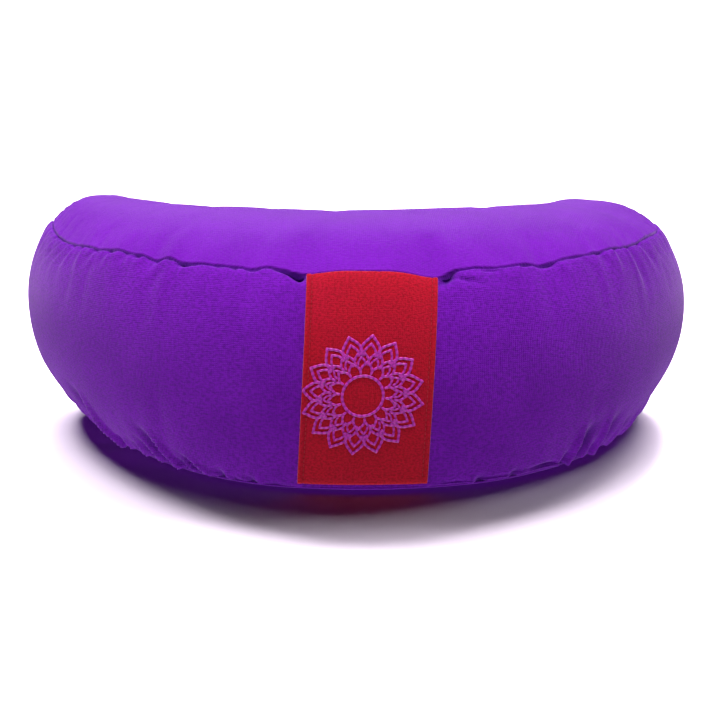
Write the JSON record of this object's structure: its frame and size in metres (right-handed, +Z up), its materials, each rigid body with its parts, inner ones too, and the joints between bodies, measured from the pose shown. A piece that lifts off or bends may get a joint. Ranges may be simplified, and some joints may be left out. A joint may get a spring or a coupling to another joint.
{
  "type": "crescent meditation cushion",
  "caption": "Filled crescent meditation cushion with crowned top, bulging side band and flat base, with an embroidered cotton strap over the middle of its convex front.",
  "frame": {"origin": "on the floor, under the middle of the cushion's box", "axes": "+Z up, convex front with the strap faces -Y, horns point to +Y, +X to the right as seen from the front"},
  "size_m": [0.4478, 0.2888, 0.1558],
  "materials": {
    "cushion_cotton": "matt plain-woven cotton, dyed purple",
    "strap_cotton": "close-woven cotton, dyed red, with a soft sheen",
    "embroidery_thread": "lustrous lilac embroidery thread",
    "sewing_thread": "matt sewing thread"
  },
  "bodies": {
    "root": {"cushion": "cushion_cotton", "strap": "strap_cotton"}
  },
  "joints": []
}
